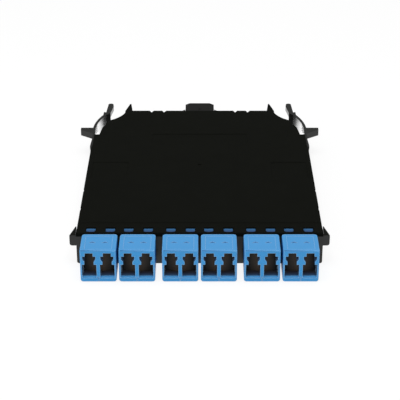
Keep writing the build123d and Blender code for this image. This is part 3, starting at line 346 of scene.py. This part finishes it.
def ground_steel(name):
    """Pin steel, ground round and round so that fine lines cross its length."""
    material = bpy.data.materials.new(name)
    material.use_nodes = True
    tree = material.node_tree
    shader = tree.nodes["Principled BSDF"]
    shader.inputs["Metallic"].default_value = 1.0
    place = add_node(tree, "ShaderNodeTexCoord")
    lines = add_node(tree, "ShaderNodeTexNoise", Scale=8000.0, Detail=2.0)
    squeeze = add_node(tree, "ShaderNodeMapping", Scale=(0.05, 1.0, 0.05))
    join(tree, place, "Object", squeeze, "Vector")
    join(tree, squeeze, "Vector", lines, "Vector")
    tint = blend_node(tree, (0.50, 0.50, 0.51, 1), (0.68, 0.68, 0.69, 1))
    join(tree, lines, "Fac", tint, "Factor")
    join(tree, tint, "Result", shader, "Base Color")
    spread = map_node(tree, To_Min=0.18, To_Max=0.32)
    join(tree, lines, "Fac", spread, "Value")
    join(tree, spread, "Result", shader, "Roughness")
    print(name, "made")
    return material


pin_finish = ground_steel("ground pin steel")

# %% [markdown]
# ## Dress the pieces
# Each solid takes one finish. The name of a piece says which, so a short table of beginnings is
# enough. Only the flaps differ by their number: even ones have their hinge on the other side.

# %% Give each solid its finish
FINISH_OF = [
    ("top_cover", cover_finish),
    ("base_tray", tray_side_finish),
    ("latch_arm", arm_side_finish),
    ("adapter_", adapter_finish),
    ("shutter_", left_flap_finish),
    ("split_sleeve", ceramic_finish),
    ("ferrules", ceramic_finish),
    ("inner_plug", plug_finish),
    ("plug_boots", boot_finish),
    ("fanout_block", rear_finish),
    ("fibre_ribbon", ribbon_finish),
    ("mpo_adapter", rear_finish),
    ("mpo_plug", plug_finish),
    ("mpo_ferrule", resin_finish),
    ("mpo_boot", rear_finish),
    ("guide_pins", pin_finish),
]
for name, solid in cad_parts.items():
    for beginning, finish in FINISH_OF:
        if name.startswith(beginning):
            solid.data.materials.clear()
            solid.data.materials.append(finish)
    if name.startswith("shutter_") and int(name.split("_")[1]) % 2 == 0:
        solid.data.materials[0] = right_flap_finish
print("pieces dressed:", sum(1 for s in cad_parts.values() if s.data.materials and s.data.materials[0]))

# %% [markdown]
# ## Tops, arm fronts, port walls, bumps and marks
# Some pieces need more than one finish. A face carries the number of its material slot, so a loop
# over the faces can tell them apart by where they lie and which way they look. That keeps the mesh
# as it is. The fronts of the arms take the duller finish of the tray, since only their sides are
# polished by the slide in the mould.

# %% Second and third finishes by face
PORT_PITCH = 6.25 * MM
PORT_REACH = 2.6 * MM
PORT_FLOOR = 1.9 * MM
PORT_ROOF = 11.35 * MM
PORT_START = 0.3 * MM
MARK_LEAST = 0.15 * MM
MARK_MOST = 0.4 * MM
CLEARLY = 0.7


def add_finish(solid, finish, belongs):
    """Gives one more finish to the faces of a solid for which the test holds."""
    solid.data.materials.append(finish)
    slot = len(solid.data.materials) - 1
    count = 0
    for face in solid.data.polygons:
        if belongs(face):
            face.material_index = slot
            count += 1
    return count


def looks_up(face):
    """Whether a face is a top."""
    return face.normal.z > CLEARLY


def looks_forward(face):
    """Whether an upright face looks to the front."""
    return face.normal.y < -CLEARLY


def dress_adapter(name, solid):
    """Gives an adapter the finishes of its port walls, its bumps and its marks, all three with painted shade.
    """
    low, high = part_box(name)
    middle = (low.x + high.x) / 2
    head_top = max(face.center.z for face in solid.data.polygons if face.center.y < CASE_FRONT)

    def in_port(face):
        """Whether a face is a wall inside one of the two front ports."""
        across = abs(abs(face.center.x - middle) - PORT_PITCH / 2)
        level = PORT_FLOOR < face.center.z < PORT_ROOF
        return across < PORT_REACH and level and HEAD_FRONT + PORT_START < face.center.y < CASE_FRONT

    def on_bump(face):
        """Whether a face is the top of a locking bump."""
        return looks_up(face) and face.center.y > CASE_FRONT and face.center.z > PORT_ROOF

    def in_mark(face):
        """Whether a face is the floor of one of the small marks on the head's top."""
        sunk = head_top - face.center.z
        return looks_up(face) and MARK_LEAST < sunk < MARK_MOST and face.center.y < CASE_FRONT

    print(name, "port walls:", add_finish(solid, port_shade_finish, in_port), end=", ")
    print("bump tops:", add_finish(solid, bump_shade_finish, on_bump), end=", ")
    print("marks:", add_finish(solid, mark_shade_finish, in_mark))


for name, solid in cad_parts.items():
    if name == "base_tray":
        print("tray tops:", add_finish(solid, tray_top_finish, looks_up))
    elif name.startswith("latch_arm"):
        print(name, "tops:", add_finish(solid, arm_top_finish, looks_up), end=", ")
        print("fronts:", add_finish(solid, tray_side_finish, looks_forward))
    elif name.startswith("adapter_"):
        dress_adapter(name, solid)

# %% [markdown]
# ## The coloured fibres
# Fibres are told apart by a fixed row of twelve colours. All twelve are one node here, so the
# faces of each fibre get their own material slot instead: a face belongs to the fibre whose front
# end is nearest in a chain of touching faces.

# %% Fibre colours
FIBRE_COLOURS = [
    (30, 90, 190), (235, 120, 30), (40, 150, 70), (120, 75, 45), (120, 125, 130), (235, 235, 230),
    (200, 40, 40), (28, 28, 28), (240, 205, 50), (120, 60, 150), (235, 150, 170), (80, 200, 200),
]
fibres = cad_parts["pigtail_fibres"]
fibres.data.materials.clear()
for number, colour in enumerate(FIBRE_COLOURS, start=1):
    fibres.data.materials.append(
        moulded_plastic(f"fibre jacket {number}", linear(*colour), 0.40, 0.4, 0.10, 0.1, 0.03, drift=0.04)
    )
leader = list(range(len(fibres.data.vertices)))


def lead(index):
    """The vertex that stands for all the vertices joined to this one."""
    while leader[index] != index:
        leader[index] = leader[leader[index]]
        index = leader[index]
    return index


spots = {}
for vertex in fibres.data.vertices:
    spot = tuple(round(v, 7) for v in vertex.co)
    leader[lead(vertex.index)] = lead(spots.setdefault(spot, vertex.index))
for face in fibres.data.polygons:
    for index in face.vertices[1:]:
        leader[lead(index)] = lead(face.vertices[0])
front_x = {}
for vertex in fibres.data.vertices:
    group = lead(vertex.index)
    if group not in front_x or vertex.co.y < front_x[group][0]:
        front_x[group] = (vertex.co.y, vertex.co.x)
order = sorted(front_x, key=lambda group: front_x[group][1])
for face in fibres.data.polygons:
    face.material_index = order.index(lead(face.vertices[0])) % len(FIBRE_COLOURS)
print("fibres found:", len(order))

# %% [markdown]
# ## The floor
# A product shot has a white floor that runs out of the picture. For the camera the floor is mostly
# its own white light, mixed with a plain diffuse so that the soft shadow under the case stays.
# Mirror rays and rays that pass through something meet plain white, so that glossy plastic shows
# the same bright floor. A photographer also lays small bright cards where a dark, polished side
# should show its curve. Two such cards lie under the latch arms. Only mirror rays see them, so the
# floor itself stays even.

# %% Floor
FLOOR_SIZE = 6
FLOOR_LEVEL = -0.05 * MM
FLOOR_GLOW = 1.1
SEEN_GLOW_SHARE = 0.76
CARD_MIDDLE = (0.034, 0.056, 0)
CARD_INNER = 0.010
CARD_OUTER = 0.017
CARD_GLOW = 3.0


def bright_cards(tree):
    """How much brighter the floor is at each spot for mirror rays. The cards are alike on both sides."""
    spot = add_node(tree, "ShaderNodeTexCoord")
    along = add_node(tree, "ShaderNodeSeparateXYZ")
    join(tree, spot, "Object", along, "Vector")
    aside = sum_node(tree, "ABSOLUTE")
    join(tree, along, "X", aside, 0)
    folded = add_node(tree, "ShaderNodeCombineXYZ")
    join(tree, aside, 0, folded, "X")
    join(tree, along, "Y", folded, "Y")
    reach = add_node(tree, "ShaderNodeVectorMath")
    reach.operation = "DISTANCE"
    reach.inputs[1].default_value = CARD_MIDDLE
    join(tree, folded, 0, reach, 0)
    card = map_node(tree, From_Min=CARD_OUTER, From_Max=CARD_INNER, To_Max=CARD_GLOW)
    join(tree, reach, "Value", card, "Value")
    return card


bpy.ops.mesh.primitive_plane_add(size=FLOOR_SIZE, location=(0, 0, FLOOR_LEVEL))
floor = bpy.context.object
floor.name = "studio floor"
paper = bpy.data.materials.new("white paper")
paper.use_nodes = True
tree = paper.node_tree
tree.nodes.remove(tree.nodes["Principled BSDF"])
sheet = add_node(tree, "ShaderNodeBsdfDiffuse", Color=(0.86, 0.86, 0.86, 1))
glow = add_node(tree, "ShaderNodeEmission", Color=(1, 1, 1, 1))
share = add_node(tree, "ShaderNodeMixShader")
path = add_node(tree, "ShaderNodeLightPath")
weight = sum_node(tree, "MULTIPLY", None, SEEN_GLOW_SHARE)
join(tree, path, "Is Camera Ray", weight, 0)
strength = sum_node(tree, "MULTIPLY_ADD", None, None, FLOOR_GLOW)
join(tree, bright_cards(tree), "Result", strength, 0)
join(tree, path, "Is Glossy Ray", strength, 1)
join(tree, strength, 0, glow, "Strength")
mirrored = sum_node(tree, "MAXIMUM")
join(tree, path, "Is Glossy Ray", mirrored, 0)
join(tree, path, "Is Transmission Ray", mirrored, 1)
white_share = sum_node(tree, "MAXIMUM")
join(tree, weight, 0, white_share, 0)
join(tree, mirrored, 0, white_share, 1)
join(tree, white_share, 0, share, "Fac")
join(tree, sheet, 0, share, 1)
join(tree, glow, 0, share, 2)
join(tree, share, 0, tree.nodes["Material Output"], "Surface")
floor.data.materials.append(paper)
print("floor size in m:", list(floor.dimensions)[:2])

# %% [markdown]
# ## The light
# Soft white walls all round give part of the light. A broad lamp above brings out the tops, a low
# one in front reaches the port faces, and a weaker one from the left shapes the ends. What the
# camera or a mirror ray meets is plain white.

# %% World and lamps
ROOM_GLOW = 0.40
world = bpy.data.worlds.new("white studio")
bpy.context.scene.world = world
world.use_nodes = True
tree = world.node_tree
room = tree.nodes["Background"]
room.inputs["Color"].default_value = (1, 1, 1, 1)
room.inputs["Strength"].default_value = ROOM_GLOW
seen = add_node(tree, "ShaderNodeBackground", Color=(1, 1, 1, 1), Strength=1.0)
path = add_node(tree, "ShaderNodeLightPath")
either = sum_node(tree, "MAXIMUM")
join(tree, path, "Is Camera Ray", either, 0)
join(tree, path, "Is Glossy Ray", either, 1)
any_of = sum_node(tree, "MAXIMUM")
join(tree, either, 0, any_of, 0)
join(tree, path, "Is Transmission Ray", any_of, 1)
share = add_node(tree, "ShaderNodeMixShader")
join(tree, any_of, 0, share, "Fac")
join(tree, room, 0, share, 1)
join(tree, seen, 0, share, 2)
join(tree, share, 0, tree.nodes["World Output"], "Surface")


def soft_lamp(name, place, aim, size, power):
    """A square lamp at a place, turned by three angles."""
    lamp = bpy.data.lights.new(name, "AREA")
    lamp.shape = "SQUARE"
    lamp.size = size
    lamp.energy = power
    holder = bpy.data.objects.new(name, lamp)
    bpy.context.scene.collection.objects.link(holder)
    holder.location = place
    holder.rotation_euler = aim


soft_lamp("lamp above", (0.0, -0.10, 0.70), (radians(-8), 0, 0), 0.50, 2.5)
soft_lamp("lamp in front", (0.0, -0.75, 0.12), (radians(84), 0, 0), 0.35, 1.0)
soft_lamp("lamp left", (-0.55, -0.35, 0.35), (radians(60), 0, radians(-58)), 0.35, 0.5)

# %% [markdown]
# ## Last settings
# The picture is kept as the light values say, with no film look.

# %% Settings
bpy.context.scene.view_settings.view_transform = "Standard"
